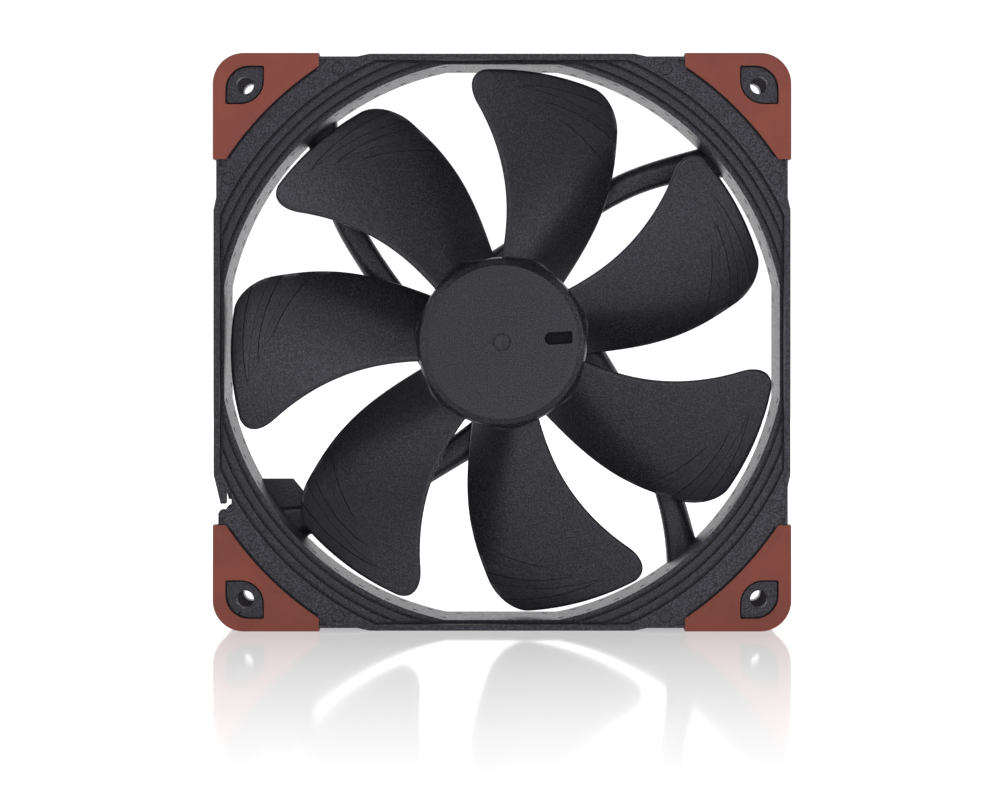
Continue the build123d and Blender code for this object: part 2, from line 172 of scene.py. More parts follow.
def arc(centre, radius, start, end, steps):
    """Points on an arc in a lathe profile; angles in degrees from the outward direction."""
    points = []
    for step in range(steps + 1):
        angle = math.radians(start + (end - start) * step / steps)
        points.append((centre[0] + radius * math.cos(angle), centre[1] + radius * math.sin(angle)))
    return points


def lathe(profile, segments):
    """Points and faces of an open profile of (radius, y) turned about the rotor's axis."""
    verts = []
    faces = []
    count = len(profile)
    for segment in range(segments):
        angle = 2 * math.pi * segment / segments
        for radius, y in profile:
            verts.append((radius * math.cos(angle), y, radius * math.sin(angle)))
    for segment in range(segments):
        following = (segment + 1) % segments
        for row in range(count - 1):
            faces.append((segment * count + row, segment * count + row + 1,
                          following * count + row + 1, following * count + row))
    return verts, faces


def turn_about_axis(verts, degrees):
    """Points turned anticlockwise about the rotor's axis, as seen from the intake."""
    cos = math.cos(math.radians(degrees))
    sin = math.sin(math.radians(degrees))
    return [(x * cos - z * sin, y, x * sin + z * cos) for x, y, z in verts]


def cut(piece, cutters):
    """Takes the cutters' shapes out of the piece, then deletes them."""
    for cutter in cutters:
        modifier = piece.modifiers.new("cut", "BOOLEAN")
        modifier.operation = "DIFFERENCE"
        modifier.solver = "EXACT"
        modifier.object = cutter
    bpy.context.view_layer.update()
    graph = bpy.context.evaluated_depsgraph_get()
    mesh = bpy.data.meshes.new_from_object(piece.evaluated_get(graph))
    old = piece.data
    piece.modifiers.clear()
    piece.data = mesh
    bpy.data.meshes.remove(old)
    for cutter in cutters:
        bpy.data.objects.remove(cutter)


# ---- one blade ----
lead_angle = lagrange(1)
trail_angle = lagrange(2)
lead_y = lagrange(3)
trail_y = lagrange(4)


def tip_inset(radius, corner_r):
    """How far a rounded tip corner moves the edge in, in millimetres along the arc."""
    from_tip = max(TIP_R - radius, 0.0)
    if from_tip >= corner_r:
        return 0.0
    return corner_r - math.sqrt(corner_r ** 2 - (corner_r - from_tip) ** 2)


def chord_share(radius, angle):
    """How far an angle is across the chord: 0 at the leading edge and 1 at the trailing one."""
    return (lead_angle(radius) - angle) / (lead_angle(radius) - trail_angle(radius))


def middle_point(radius, angle):
    """A point of the blade's middle surface, from its radius and its angle in degrees."""
    share = chord_share(radius, angle)
    curve = (1 - CAMBER) * share + CAMBER * share ** 2
    y = lead_y(radius) + (trail_y(radius) - lead_y(radius)) * curve
    turn = math.radians(angle)
    return Vector((radius * math.cos(turn), y, radius * math.sin(turn)))


def surface_normal(radius, angle):
    """The unit normal of the middle surface that faces the intake."""
    small = 0.05
    along = middle_point(radius + small, angle) - middle_point(radius - small, angle)
    across = middle_point(radius, angle + small) - middle_point(radius, angle - small)
    normal = along.cross(across).normalized()
    return normal if normal.y < 0 else -normal


def columns():
    """Each column's place across the chord: millimetres from the edges, and a share of the rest."""
    places = [(near, 0.0) for near in STRIP_PLACES]
    places += [(RIM, step / CHORD_COLUMNS) for step in range(CHORD_COLUMNS + 1)]
    places += [(2 * RIM - near, 1.0) for near in reversed(STRIP_PLACES)]
    return places


def column_angle(radius, place):
    """A column's angle at a radius, and how far it is there from the blade's two edges."""
    near, share = place
    lead = lead_angle(radius) - math.degrees(tip_inset(radius, LEAD_TIP_R) / radius)
    trail = trail_angle(radius) + math.degrees(tip_inset(radius, TRAIL_TIP_R) / radius)
    arc_length = math.radians(lead - trail) * radius
    along = near + share * (arc_length - 2 * RIM)
    return lead - math.degrees(along / radius), along, arc_length - along


def channel_edge(channel, share, outer):
    """Radius of a channel's edge where it crosses a share of the chord."""
    start, start_r, outer_bend, inner_bend = channel
    if share <= start:
        before = start - share
        return start_r + CHANNEL_RISE * before * (1 - before / (2 * start))
    slope, bend = outer_bend if outer else inner_bend
    run = (share - start) / (1 - start)
    return start_r + slope * run + bend * run ** 2


def channel_depth(width, outer):
    """How deep a channel is beside one of its edges, where it is this wide."""
    depth = min(CHANNEL_DEPTH, CHANNEL_SLOPE * max(width - CHANNEL_DEAD, 0.0))
    return depth * OUTER_SHARE if outer else depth


def crossing(place, channel, outer):
    """The radius at which a column crosses a channel's edge, by halving."""
    low = 30.0
    high = TIP_R
    halvings = 40
    for _ in range(halvings):
        middle = (low + high) / 2
        share = chord_share(middle, column_angle(middle, place)[0])
        if middle > channel_edge(channel, share, outer):
            high = middle
        else:
            low = middle
    return (low + high) / 2


def fillet_radius(share, suction):
    """How large the fillet at the hub is, across the chord."""
    if not suction:
        return PRESSURE_FILLET
    reach = FILLET_REACH_LEAD if share < FILLET_MIDDLE else FILLET_REACH_TRAIL
    return FILLET_LEAST + FILLET_HUMP * math.exp(-((share - FILLET_MIDDLE) / reach) ** 2)


def row_radii(place, suction):
    """One column's rows: each one's radius, depth of channel and height of fillet."""
    rows = []
    root_share = chord_share(HUB_R, column_angle(HUB_R, place)[0])
    fillet = fillet_radius(root_share, suction)
    rows.append((ROOT_INSIDE_R, 0.0, fillet))
    for step in range(FILLET_STEPS + 1):
        turn = math.radians(90 * step / FILLET_STEPS)
        rows.append((HUB_R + fillet * (1 - math.cos(turn)), 0.0, fillet * (1 - math.sin(turn))))
    marks = []
    for channel in reversed(CHANNELS):
        inner = crossing(place, channel, outer=False)
        outer = max(crossing(place, channel, outer=True), inner + CHANNEL_LEAST)
        width = outer - inner
        gap = min(CHANNEL_WALL, CHANNEL_WALL_SHARE * width) / 2
        for radius, is_outer in ((inner, False), (outer, True)):
            depth = channel_depth(width, is_outer) if suction else 0.0
            marks.append((radius - gap, depth if is_outer else 0.0))
            marks.append((radius + gap, 0.0 if is_outer else depth))
    previous = (HUB_R + fillet, 0.0)
    for mark, steps in zip(marks, CHANNEL_STEPS, strict=True):
        for step in range(1, steps + 1):
            share = step / steps
            rows.append((previous[0] + (mark[0] - previous[0]) * share,
                         previous[1] + (mark[1] - previous[1]) * share, 0.0))
        previous = mark
    last = previous[0]
    to_tip = TIP_R - last
    for share in TIP_SHARES:
        rows.append((last + to_tip * share, 0.0, 0.0))
    return rows


def blade_side(suction):
    """The grid of points on one side of a blade: a list of columns."""
    grid = []
    for place in columns():
        line = []
        for radius, depth, lift in row_radii(place, suction):
            angle, from_lead, from_trail = column_angle(radius, place)
            share = min(max(chord_share(radius, angle), 0.0), 1.0)
            half = LEAD_HALF + (TRAIL_HALF - LEAD_HALF) * share
            edge = min(from_lead, from_trail, TIP_R - radius)
            inset = min(max(edge / half, 0.0), 1.0)
            thick = half * math.sqrt(1 - (1 - inset) ** 2)
            ease = min(max(edge / EDGE_EASE, 0.0), 1.0)
            out = thick + lift * ease - depth * ease
            normal = surface_normal(radius, angle)
            line.append(middle_point(radius, angle) + normal * (out if suction else -out))
        grid.append(line)
    return grid


def one_blade():
    """Points and faces of a whole blade, closed inside the hub."""
    verts = []
    faces = []
    starts = []
    for suction in (True, False):
        grid = blade_side(suction)
        rows = len(grid[0])
        start = len(verts)
        starts.append(start)
        for line in grid:
            verts += [tuple(point) for point in line]
        for column in range(len(grid) - 1):
            for row in range(rows - 1):
                corner = start + column * rows + row
                face = (corner, corner + 1, corner + rows + 1, corner + rows)
                faces.append(face if suction else face[::-1])
    for column in range(len(columns()) - 1):
        here = column * rows
        there = here + rows
        faces.append((starts[0] + here, starts[0] + there, starts[1] + there, starts[1] + here))
    return verts, faces


# ---- the hub ----
GATE_R = 2.0                # the fine ring groove round the moulding's gate
GATE_GROOVE = 0.2
GATE_PIT = 0.06
EDGE_R = 0.35               # rounding between the hub's face and its shoulder
SHOULDER_R = 18.75
SHOULDER_REAR = -8.6        # the shoulder curves back to here, where the straight wall starts
SHOULDER_STEPS = 8
SHOULDER_FROM = 24          # degrees along the shoulder's curve at its front end
HUB_FLOOR = -10.72          # inside of the hub's face
HUB_LIP = 0.3               # bevel round the hub's open end
INNER_GAP = 0.02            # keeps the inside clear of the motor's yoke
HUB_SEGMENTS = 180
HUB_SHARP = 25
BLADE_SHARP = 28
# the small recess in the hub's face
SLOT_LEFT = 10.3
SLOT_RIGHT = 17.1
SLOT_HALF = 1.5
SLOT_DEPTH = 0.8
SLOT_CENTRE = (13.7, 1.0)
SLOT_TILT = 3.5


def hub_profile():
    """The hub's section, from the middle of its face round the edge and back inside."""
    face = HUB_FACE
    groove = face + GATE_GROOVE
    front = face + EDGE_R
    inner_r = HUB_INNER_R + INNER_GAP
    points = [(0.0, face + GATE_PIT), (0.35, face + GATE_PIT), (0.6, face + GATE_PIT / 3)]
    points += [(GATE_R - 0.22, face), (GATE_R - 0.1, groove), (GATE_R + 0.1, groove)]
    points += [(GATE_R + 0.22, face), (6.0, face), (12.0, face), (17.0, face)]
    points += arc((SHOULDER_R - EDGE_R, front), EDGE_R, -90, -32, 5)
    drop = SHOULDER_REAR - front
    for step in range(1, SHOULDER_STEPS + 1):
        turn = math.radians(SHOULDER_FROM + (90 - SHOULDER_FROM) * step / SHOULDER_STEPS)
        radius = SHOULDER_R + (HUB_R - SHOULDER_R) * math.sin(turn)
        points.append((radius, front + drop * (1 - math.cos(turn))))
    points += [(HUB_R, -4.0), (HUB_R, 1.0), (HUB_R, HUB_OPEN - HUB_LIP), (HUB_R - HUB_LIP, HUB_OPEN)]
    points += [(inner_r, HUB_OPEN), (inner_r, HUB_FLOOR), (0.0, HUB_FLOOR)]
    return points


def hub_slot():
    """The cutter for the hub's recess: round at its left end, square at its right."""
    half = SLOT_HALF
    outline = arc((SLOT_LEFT + half, 0.0), half, 90, 270, 12)
    outline += [(SLOT_RIGHT - 0.5, -half), (SLOT_RIGHT - 0.1, -half + 0.35)]
    outline += [(SLOT_RIGHT, half - 0.5), (SLOT_RIGHT - 0.3, half)]
    cos = math.cos(math.radians(SLOT_TILT))
    sin = math.sin(math.radians(SLOT_TILT))
    centre_x, centre_z = SLOT_CENTRE
    placed = [(centre_x + (x - centre_x) * cos - z * sin, centre_z + (x - centre_x) * sin + z * cos)
              for x, z in outline]
    return new_object("slot_cutter", *prism_shape(placed, HUB_FACE - 1.0, HUB_FACE + SLOT_DEPTH))


def make_hub():
    """The hub's cup, with the recess in its face."""
    hub = new_object("hub_moulding", *lathe(hub_profile(), HUB_SEGMENTS))
    cut(hub, [hub_slot()])
    shade(hub.data, HUB_SHARP)
    return hub


def make_impeller():
    """The hub and its blades, as one moulding."""
    hub = make_hub()
    verts, faces = one_blade()
    shapes = [(turn_about_axis(verts, number * 360 / BLADES), faces) for number in range(BLADES)]
    blades = new_object("impeller_moulding", *merged(shapes), sharp_degrees=BLADE_SHARP)
    both = [blades, hub]
    with bpy.context.temp_override(active_object=blades, object=blades, selected_objects=both,
                                   selected_editable_objects=both):
        bpy.ops.object.join()
    return blades


# ---- the frame ----
FRAME_FACE = -12.2
CUTTER_FRONT = -14.0        # cutters start in front of the frame's face
FRAME_SHARP = 30
DUCT_R = 68.9
DUCT_FLAT = 67.5            # centre to the flats at the middle of each side of the duct
DIMPLE_R = 0.85
DIMPLE_BALL_R = 0.95
DIMPLE_ROWS = ((0.0, -3.8), (3.0, 8.0))     # each row's offset in degrees, and its y
DIMPLE_PITCH = 6
DIMPLE_FROM_SIDE = 8.5      # no dimples within this many degrees of the middle of a side
STRUT_ANGLES = (33, 49)     # in each quarter turn, where a strut meets the duct's wall
PLATE_ANGLES = (206, 240)   # where the plate beside the cable's strut meets it
STEP_RADII = (74.86, 72.7, 70.5)
STEP_FLAT = 68.3
STEP_DEPTH = 1.1
GROOVE_WIDTH = 0.6
GROOVE_DEPTH = 0.8
HOLE_AT = 62.25             # centre to each screw hole, across and up
WINDOW = 9.4                # across the opening that each boss stands in
BOSS_GAP = 0.42
BOSS_GAP_DEPTH = 2.2
LEAF_ROUND_R = 5.75
LEAF_SHARP_R = 0.5
PAD_ARC_R = 80.3
PAD_ARC_FROM = 33.8         # degrees from each axis to where a pad's curved edge starts
PAD_GAP = 0.8
PIN_MARK_AT = (39.65, 66.2)
PIN_MARK_R = 1.5
PIN_GROOVE_OUT = 0.1        # the groove's reach outside and inside that radius
PIN_GROOVE_IN = 0.12
PIN_GROOVE_DEPTH = 0.45


def flattened_point(degrees, radius, flat, inset=0.0):
    """A point in x and z on a circle that has a flat at the middle of each side."""
    turn = math.radians(degrees)
    reach = min(radius, flat / max(abs(math.cos(turn)), abs(math.sin(turn)))) - inset
    return reach * math.cos(turn), reach * math.sin(turn)


def dimple_cutter():
    """All the small balls that press the two staggered rows of dimples into the duct's wall."""
    sink = math.sqrt(DIMPLE_BALL_R ** 2 - DIMPLE_R ** 2)
    work = bmesh.new()
    for offset, y in DIMPLE_ROWS:
        for number in range(360 // DIMPLE_PITCH):
            angle = offset + number * DIMPLE_PITCH
            from_side = abs((angle + 45) % 90 - 45)
            on_strut = STRUT_ANGLES[0] < angle % 90 < STRUT_ANGLES[1]
            on_plate = PLATE_ANGLES[0] < angle < PLATE_ANGLES[1]
            if from_side < DIMPLE_FROM_SIDE or (y > 0 and (on_strut or on_plate)):
                continue
            x, z = flattened_point(angle, DUCT_R, DUCT_FLAT, sink)
            bmesh.ops.create_uvsphere(work, u_segments=12, v_segments=8, radius=DIMPLE_BALL_R * MM,
                                      matrix=Matrix.Translation(Vector((x, y, z)) * MM))
    mesh = bpy.data.meshes.new("dimple_cutter")
    work.to_mesh(mesh)
    work.free()
    return link_object("dimple_cutter", mesh)


def ring_shape(outer, inner, deepest):
    """A closed ring between two outlines of points, from in front of the frame to a depth."""
    verts = []
    faces = []
    for (x, z), (inner_x, inner_z) in zip(outer, inner):
        verts += [(x, CUTTER_FRONT, z), (x, deepest, z),
                  (inner_x, deepest, inner_z), (inner_x, CUTTER_FRONT, inner_z)]
    count = len(verts)
    for start in range(0, count, 4):
        following = (start + 4) % count
        for side in range(4):
            after = (side + 1) % 4
            faces.append((start + side, start + after, following + after, following + side))
    return verts, faces


def prism_shape(outline, front, deepest):
    """A closed prism over an outline of points, along the rotor's axis."""
    count = len(outline)
    verts = [(x, front, z) for x, z in outline] + [(x, deepest, z) for x, z in outline]
    faces = [tuple(range(count)), tuple(range(2 * count - 1, count - 1, -1))]
    faces += [(n, (n + 1) % count, count + (n + 1) % count, count + n) for n in range(count)]
    return verts, faces


def round_outline(centre, radius, start=0, end=360, steps=32):
    """Points from one angle up to, but not including, another."""
    points = []
    for step in range(steps):
        turn = math.radians(start + (end - start) * step / steps)
        points.append((centre[0] + radius * math.cos(turn), centre[1] + radius * math.sin(turn)))
    return points


def leaf_outline(half, corner):
    """The outline of the leaf-shaped boss round one corner's screw hole."""
    side_x, side_z = corner
    outline = []
    for number, turn in enumerate((0, 90, 180, 270)):
        radius = LEAF_SHARP_R if number % 2 else LEAF_ROUND_R - WINDOW / 2 + half
        along_x = 1 if number in (0, 3) else -1
        along_z = 1 if number < 2 else -1
        for step in range(9):
            angle = math.radians(turn + 90 * step / 8)
            x = along_x * (half - radius) + radius * math.cos(angle)
            z = along_z * (half - radius) + radius * math.sin(angle)
            outline.append((side_x * (HOLE_AT + x), side_z * (HOLE_AT + z)))
    return outline


def step_outline(radius):
    """The outline of one inlet step: a circle with flats at the middle of each side."""
    return [flattened_point(degrees, radius, STEP_FLAT) for degrees in range(360)]


def step_groove_cutter(number, radius):
    """The groove at the foot of one inlet step."""
    outer = step_outline(radius)
    shrink = 1 - GROOVE_WIDTH / radius
    inner = [(x * shrink, z * shrink) for x, z in outer]
    deepest = FRAME_FACE + number * STEP_DEPTH + GROOVE_DEPTH
    return new_object("step_cutter", *ring_shape(outer, inner, deepest))


def corner_groove_cutter():
    """The gaps round each boss and beside each pad, and the groove round each pin mark."""
    shapes = []
    for corner in ((1, 1), (-1, 1), (-1, -1), (1, -1)):
        outer = leaf_outline(WINDOW / 2, corner)
        inner = leaf_outline(WINDOW / 2 - BOSS_GAP, corner)
        shapes.append(ring_shape(outer, inner, FRAME_FACE + BOSS_GAP_DEPTH))
    for quarter in range(4):
        start = quarter * 90 + PAD_ARC_FROM
        end = quarter * 90 + 90 - PAD_ARC_FROM
        far = round_outline((0, 0), PAD_ARC_R, start, end)
        near = round_outline((0, 0), PAD_ARC_R - PAD_GAP, end, start)
        shapes.append(prism_shape(far + near, CUTTER_FRONT, FRAME_FACE + BOSS_GAP_DEPTH))
        for side in (-1, 1):
            along, out = side * PIN_MARK_AT[0], PIN_MARK_AT[1]
            centre = ((along, out), (-out, along), (-along, -out), (out, -along))[quarter]
            outer = round_outline(centre, PIN_MARK_R + PIN_GROOVE_OUT)
            inner = round_outline(centre, PIN_MARK_R - PIN_GROOVE_IN)
            shapes.append(ring_shape(outer, inner, FRAME_FACE + PIN_GROOVE_DEPTH))
    return new_object("corner_cutter", *merged(shapes))


def make_frame():
    """A copy of the CAD frame with its dimples, grooves and gaps cut."""
    piece = finish_mesh("frame_moulding", nodes["frame"].data.copy(), FRAME_SHARP)
    steps = [step_groove_cutter(number, radius) for number, radius in enumerate(STEP_RADII, 1)]
    cut(piece, [dimple_cutter(), corner_groove_cutter()] + steps)
    shade(piece.data, FRAME_SHARP)
    return piece


# ---- materials ----
def new_material(name):
    """A material, its node tree and its shader."""
    material = bpy.data.materials.new(name)
    material.use_nodes = True
    tree = material.node_tree
    return material, tree, tree.nodes["Principled BSDF"]


def noise(tree, scale, detail=3.0):
    """A noise texture on the object's own coordinates, in features per millimetre."""
    coordinates = tree.nodes.new("ShaderNodeTexCoord")
    texture = tree.nodes.new("ShaderNodeTexNoise")
    texture.inputs["Scale"].default_value = scale / MM
    texture.inputs["Detail"].default_value = detail
    texture.inputs["Roughness"].default_value = 0.55
    tree.links.new(coordinates.outputs["Object"], texture.inputs["Vector"])
    return texture.outputs["Fac"]


def ramp(tree, value, low, high, low_at=0.3, high_at=0.7):
    """A colour ramp between two colours, driven by a value."""
    node = tree.nodes.new("ShaderNodeValToRGB")
    node.color_ramp.elements[0].position = low_at
    node.color_ramp.elements[1].position = high_at
    node.color_ramp.elements[0].color = (*low, 1)
    node.color_ramp.elements[1].color = (*high, 1)
    tree.links.new(value, node.inputs["Fac"])
    return node.outputs["Color"]


def spread(tree, value, low, high, low_at=0.3, high_at=0.7):
    """A number between low and high, driven by a value."""
    node = tree.nodes.new("ShaderNodeMapRange")
    node.inputs["From Min"].default_value = low_at
    node.inputs["From Max"].default_value = high_at
    node.inputs["To Min"].default_value = low
    node.inputs["To Max"].default_value = high
    tree.links.new(value, node.inputs["Value"])
    return node.outputs["Result"]


def bump(tree, height, distance, strength, under=None):
    """A bump this many millimetres high, over another one if there is one."""
    node = tree.nodes.new("ShaderNodeBump")
    node.inputs["Distance"].default_value = distance * MM
    node.inputs["Strength"].default_value = strength
    tree.links.new(height, node.inputs["Height"])
    if under is not None:
        tree.links.new(under, node.inputs["Normal"])
    return node.outputs["Normal"]


def textured_plastic(name, dark, light, roughness, grain):
    """Moulded plastic with a spark-eroded grain: small pits and raised glossy specks."""
    material, tree, shader = new_material(name)
    fine = noise(tree, 3.0, detail=0.0)
    coarse = noise(tree, 0.9, detail=2.0)
    tree.links.new(ramp(tree, fine, dark, light, 0.4, 0.72), shader.inputs["Base Color"])
    tree.links.new(spread(tree, fine, roughness + 0.08, roughness - 0.1), shader.inputs["Roughness"])
    shader.inputs["Specular Tint"].default_value = (0.9, 0.88, 1.0, 1)
    shader.inputs["Specular IOR Level"].default_value = 0.55
    first = bump(tree, coarse, grain * 0.5, 0.5)
    tree.links.new(bump(tree, fine, grain, 0.8, first), shader.inputs["Normal"])
    return material


def paint_recess_shade(material, depth, radius):
    """Paints shade into the plastic: makes it dark and dull where it lies behind a depth and within a
    radius.
    """
    tree = material.node_tree
    shader = tree.nodes["Principled BSDF"]
    parts = tree.nodes.new("ShaderNodeSeparateXYZ")
    tree.links.new(tree.nodes.new("ShaderNodeTexCoord").outputs["Object"], parts.inputs["Vector"])
    across = tree.nodes.new("ShaderNodeCombineXYZ")
    tree.links.new(parts.outputs["X"], across.inputs["X"])
    tree.links.new(parts.outputs["Z"], across.inputs["Z"])
    away = tree.nodes.new("ShaderNodeVectorMath")
    away.operation = "LENGTH"
    tree.links.new(across.outputs["Vector"], away.inputs[0])
    fade_y = 0.05
    fade_r = 0.1
    deep = spread(tree, parts.outputs["Y"], 0.0, 1.0, (depth - fade_y) * MM, depth * MM)
    inside = spread(tree, away.outputs["Value"], 1.0, 0.0, (radius - fade_r) * MM, radius * MM)
    both = tree.nodes.new("ShaderNodeMath")
    both.operation = "MULTIPLY"
    tree.links.new(deep, both.inputs[0])
    tree.links.new(inside, both.inputs[1])
    # painted shade: a near-black colour and full dullness stand in for the shade inside the recess
    changes = {"Base Color": (0.001, 0.001, 0.001, 1), "Roughness": 0.95}
    for name, value in changes.items():
        mix = tree.nodes.new("ShaderNodeMix")
        mix.data_type = "RGBA" if name == "Base Color" else "FLOAT"
        before, after = [socket for socket in mix.inputs
                         if socket.enabled and socket.name in ("A", "B")]
        tree.links.new(shader.inputs[name].links[0].from_socket, before)
        after.default_value = value
        tree.links.new(both.outputs["Value"], mix.inputs["Factor"])
        result = [socket for socket in mix.outputs if socket.enabled][0]
        tree.links.new(result, shader.inputs[name])


def rubber(name, dark, light):
    """Smooth matt silicone with faint clouding and a dusting of fine pores."""
    material, tree, shader = new_material(name)
    cloud = noise(tree, 0.12, detail=4.0)
    pores = noise(tree, 4.0, detail=1.0)
    tree.links.new(ramp(tree, cloud, dark, light), shader.inputs["Base Color"])
    tree.links.new(spread(tree, cloud, 0.5, 0.62), shader.inputs["Roughness"])
    shader.inputs["Sheen Weight"].default_value = 0.1
    shader.inputs["Sheen Roughness"].default_value = 0.4
    tree.links.new(bump(tree, pores, 0.008, 0.6), shader.inputs["Normal"])
    return material


def metal(name, dark, light, roughness, stretch=(1, 12, 1)):
    """Turned or rolled metal with fine tool lines."""
    material, tree, shader = new_material(name)
    coordinates = tree.nodes.new("ShaderNodeTexCoord")
    mapping = tree.nodes.new("ShaderNodeMapping")
    mapping.inputs["Scale"].default_value = stretch
    texture = tree.nodes.new("ShaderNodeTexNoise")
    texture.inputs["Scale"].default_value = 1.5 / MM
    tree.links.new(coordinates.outputs["Object"], mapping.inputs["Vector"])
    tree.links.new(mapping.outputs["Vector"], texture.inputs["Vector"])
    lines = texture.outputs["Fac"]
    shader.inputs["Metallic"].default_value = 1.0
    tree.links.new(ramp(tree, lines, dark, light), shader.inputs["Base Color"])
    tree.links.new(spread(tree, lines, roughness - 0.06, roughness + 0.08), shader.inputs["Roughness"])
    tree.links.new(bump(tree, lines, 0.01, 0.5), shader.inputs["Normal"])
    return material


def speckled(name, dark, light, roughness, scale=2.0, depth=0.01, coat=0.0):
    """A matt or lacquered material with fine mottling."""
    material, tree, shader = new_material(name)
    mottle = noise(tree, scale)
    tree.links.new(ramp(tree, mottle, dark, light), shader.inputs["Base Color"])
    tree.links.new(spread(tree, mottle, roughness - 0.05, roughness + 0.05), shader.inputs["Roughness"])
    shader.inputs["Coat Weight"].default_value = coat
    tree.links.new(bump(tree, mottle, depth, 0.5), shader.inputs["Normal"])
    return material


def winding(name):
    """Enamelled copper wire, wound in close turns."""
    material, tree, shader = new_material(name)
    coordinates = tree.nodes.new("ShaderNodeTexCoord")
    wave = tree.nodes.new("ShaderNodeTexWave")
    wave.wave_type = "RINGS"
    wave.rings_direction = "Y"
    wave.inputs["Scale"].default_value = 0.75 / MM
    wave.inputs["Distortion"].default_value = 0.4
    tree.links.new(coordinates.outputs["Object"], wave.inputs["Vector"])
    turns = wave.outputs["Fac"]
    shader.inputs["Metallic"].default_value = 0.85
    shader.inputs["Coat Weight"].default_value = 0.6
    shader.inputs["Roughness"].default_value = 0.32
    tree.links.new(ramp(tree, turns, (0.22, 0.06, 0.02), (0.62, 0.24, 0.08)), shader.inputs["Base Color"])
    tree.links.new(bump(tree, turns, 0.06, 0.9), shader.inputs["Normal"])
    return material


MATERIALS = {
    "frame_plastic": textured_plastic(
        "frame_plastic", (0.005, 0.005, 0.006), (0.048, 0.046, 0.058), 0.4, 0.045),
    "impeller_plastic": textured_plastic(
        "impeller_plastic", (0.005, 0.005, 0.006), (0.038, 0.036, 0.046), 0.34, 0.035),
    "pad_rubber": rubber("pad_rubber", (0.225, 0.044, 0.027), (0.275, 0.058, 0.036)),
    "brass": metal("brass", (0.5, 0.34, 0.12), (0.7, 0.52, 0.24), 0.3),
    "sintered_bronze": metal("sintered_bronze", (0.3, 0.18, 0.08), (0.5, 0.34, 0.18), 0.5),
    "thrust_polymer": speckled("thrust_polymer", (0.5, 0.48, 0.4), (0.6, 0.58, 0.5), 0.4),
    "seal_rubber": speckled("seal_rubber", (0.012, 0.012, 0.012), (0.03, 0.03, 0.03), 0.6),
    "lamination_steel": metal(
        "lamination_steel", (0.2, 0.2, 0.21), (0.5, 0.5, 0.52), 0.4, (1, 40, 1)),
    "insulator_plastic": speckled(
        "insulator_plastic", (0.5, 0.47, 0.4), (0.6, 0.57, 0.5), 0.45),
    "board": speckled("board", (0.006, 0.05, 0.02), (0.012, 0.08, 0.035), 0.35, 0.8, 0.01, 0.5),
    "chip_epoxy": speckled("chip_epoxy", (0.01, 0.01, 0.011), (0.025, 0.025, 0.027), 0.5),
    "capacitor_ceramic": speckled(
        "capacitor_ceramic", (0.34, 0.22, 0.12), (0.46, 0.33, 0.2), 0.4),
    "resistor_ceramic": speckled(
        "resistor_ceramic", (0.02, 0.02, 0.022), (0.06, 0.06, 0.065), 0.4),
    "steel": metal("steel", (0.42, 0.42, 0.43), (0.66, 0.66, 0.67), 0.28),
    "label_paper": speckled(
        "label_paper", (0.02, 0.02, 0.022), (0.032, 0.032, 0.035), 0.55, 3.0, 0.004),
    "ferrite": speckled("ferrite", (0.03, 0.03, 0.032), (0.07, 0.07, 0.075), 0.6),
    "copper_wire": winding("copper_wire"),
    "clip_nylon": speckled("clip_nylon", (0.6, 0.6, 0.55), (0.72, 0.72, 0.68), 0.4),
}

# painted shade: the recess's floor is darkened, from below the gate's groove and inside the hub's
# shoulder
RECESS_SHADE_FROM = 0.25
RECESS_SHADE_WITHIN_R = 18.0
paint_recess_shade(MATERIALS["impeller_plastic"], HUB_FACE + RECESS_SHADE_FROM, RECESS_SHADE_WITHIN_R)


def dress_cad_nodes():
    """Gives every CAD solid the material that its record names."""
    for entry in frame["record"]["subparts"]:
        for place in nodes[entry["node"]].material_slots:
            place.material = MATERIALS[entry["material_slot"]]


# ---- putting the fan together ----
def add_piece(piece, body, node, slot):
    """Puts a piece on its body, in place of a CAD node."""
    piece.data.materials.clear()
    piece.data.materials.append(MATERIALS[slot])
    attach(piece, body)
    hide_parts(node)


dress_cad_nodes()
add_piece(make_impeller(), "rotor", "impeller", "impeller_plastic")
add_piece(make_frame(), "housing", "frame", "frame_plastic")


# ---- the studio, in metres ----
FLOOR_Z = cad_box[0][2]
FLOOR_R = 2.2
FLOOR_BEND = 0.5
FLOOR_HIGH = 2.6
FLOOR_SEGMENTS = 96
BEND_STEPS = 12
# the floor's glow under the fan, just in front of it, far in front and far behind,
# then the two values of y that each change runs between
FLOOR_GLOW = 0.46
NEAR_GLOW = 0.86
FRONT_GLOW = 0.13
BACKDROP_GLOW = 0.78
NEAR_FADE = (-0.26, -0.02)
FRONT_FADE = (-0.5, -0.9)
BACKDROP_FADE = (0.1, 0.7)
# each softbox: degrees round from the intake side, degrees up, and watts
SOFTBOXES = (
    (-15, 35, 1.4), (15, 35, 0.6), (-45, 35, 0.6), (15, 5, 1.0), (-15, 5, 0.2), (-15, 65, 0.8),
)
SOFTBOX_AWAY = 1.2
SOFTBOX_SIZE = 0.6
CAMERA_Y = -0.6825          # 0.67 m in front of the intake face
FOCAL_PIXELS = 2771.0
IMAGE_WIDTH = 1000.0
SENSOR = 36.0
SHIFT_X = -0.002
SHIFT_Y = -0.0578


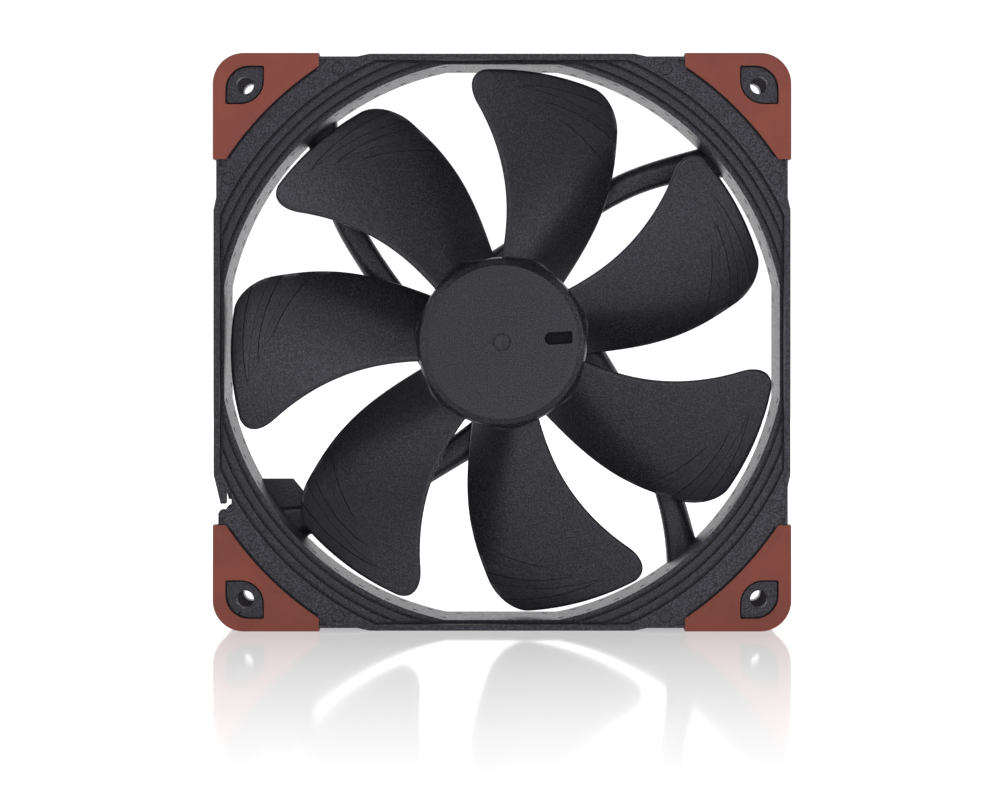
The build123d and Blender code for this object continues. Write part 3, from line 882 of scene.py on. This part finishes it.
def make_floor():
    """A pale round floor that sweeps up on every side, so that it fills every view."""
    profile = [(0.0, 0.0), (FLOOR_R - FLOOR_BEND, 0.0)]
    for step in range(1, BEND_STEPS + 1):
        turn = math.radians(90 * step / BEND_STEPS)
        radius = FLOOR_R - FLOOR_BEND + FLOOR_BEND * math.sin(turn)
        profile.append((radius, FLOOR_BEND * (1 - math.cos(turn))))
    profile.append((FLOOR_R, FLOOR_HIGH))
    verts = []
    faces = []
    count = len(profile)
    for segment in range(FLOOR_SEGMENTS):
        turn = 2 * math.pi * segment / FLOOR_SEGMENTS
        for radius, z in profile:
            verts.append((radius * math.cos(turn), radius * math.sin(turn), FLOOR_Z + z))
        here = segment * count
        there = (segment + 1) % FLOOR_SEGMENTS * count
        faces += [(here + n, here + n + 1, there + n + 1, there + n) for n in range(count - 1)]
    mesh = bpy.data.meshes.new("floor")
    mesh.from_pydata(verts, [], faces)
    mesh.shade_smooth()
    floor = link_object("floor", mesh)
    mesh.materials.append(floor_material())


def floor_material():
    """Glossy white acrylic that glows a little, and more behind the fan and just in front of it."""
    material, tree, shader = new_material("floor")
    shader.inputs["Base Color"].default_value = (0.5, 0.5, 0.505, 1)
    shader.inputs["Roughness"].default_value = 0.08
    shader.inputs["Emission Color"].default_value = (1, 1, 1, 1)
    position = tree.nodes.new("ShaderNodeNewGeometry").outputs["Position"]
    parts = tree.nodes.new("ShaderNodeSeparateXYZ")
    tree.links.new(position, parts.inputs["Vector"])
    depth = parts.outputs["Y"]
    glow = spread(tree, depth, NEAR_GLOW, FLOOR_GLOW, *NEAR_FADE)
    changes = ((BACKDROP_GLOW - FLOOR_GLOW, BACKDROP_FADE), (FRONT_GLOW - NEAR_GLOW, FRONT_FADE))
    for change, fade in changes:
        total = tree.nodes.new("ShaderNodeMath")
        tree.links.new(glow, total.inputs[0])
        tree.links.new(spread(tree, depth, 0.0, change, *fade), total.inputs[1])
        glow = total.outputs["Value"]
    tree.links.new(glow, shader.inputs["Emission Strength"])
    return material


def softbox(around, up, watts):
    """A square area light that faces the fan."""
    data = bpy.data.lights.new("softbox", "AREA")
    data.shape = "SQUARE"
    data.size = SOFTBOX_SIZE
    data.energy = watts
    light = link_object("softbox", data)
    turn = math.radians(around)
    tilt = math.radians(up)
    level = math.cos(tilt)
    place = Vector((math.sin(turn) * level, -math.cos(turn) * level, math.sin(tilt)))
    light.location = place * SOFTBOX_AWAY
    light.rotation_euler = place.to_track_quat("Z", "Y").to_euler()


def make_camera():
    """A camera square on to the intake face, at the fan's height."""
    data = bpy.data.cameras.new("camera")
    data.sensor_width = SENSOR
    data.lens = SENSOR * FOCAL_PIXELS / IMAGE_WIDTH
    data.shift_x = SHIFT_X
    data.shift_y = SHIFT_Y
    camera = link_object("camera", data)
    camera.location = (0, CAMERA_Y, 0)
    camera.rotation_euler = (math.radians(90), 0, 0)
    bpy.context.scene.camera = camera


make_floor()
make_camera()
for softbox_row in SOFTBOXES:
    softbox(*softbox_row)
bpy.context.scene.view_settings.view_transform = "Standard"
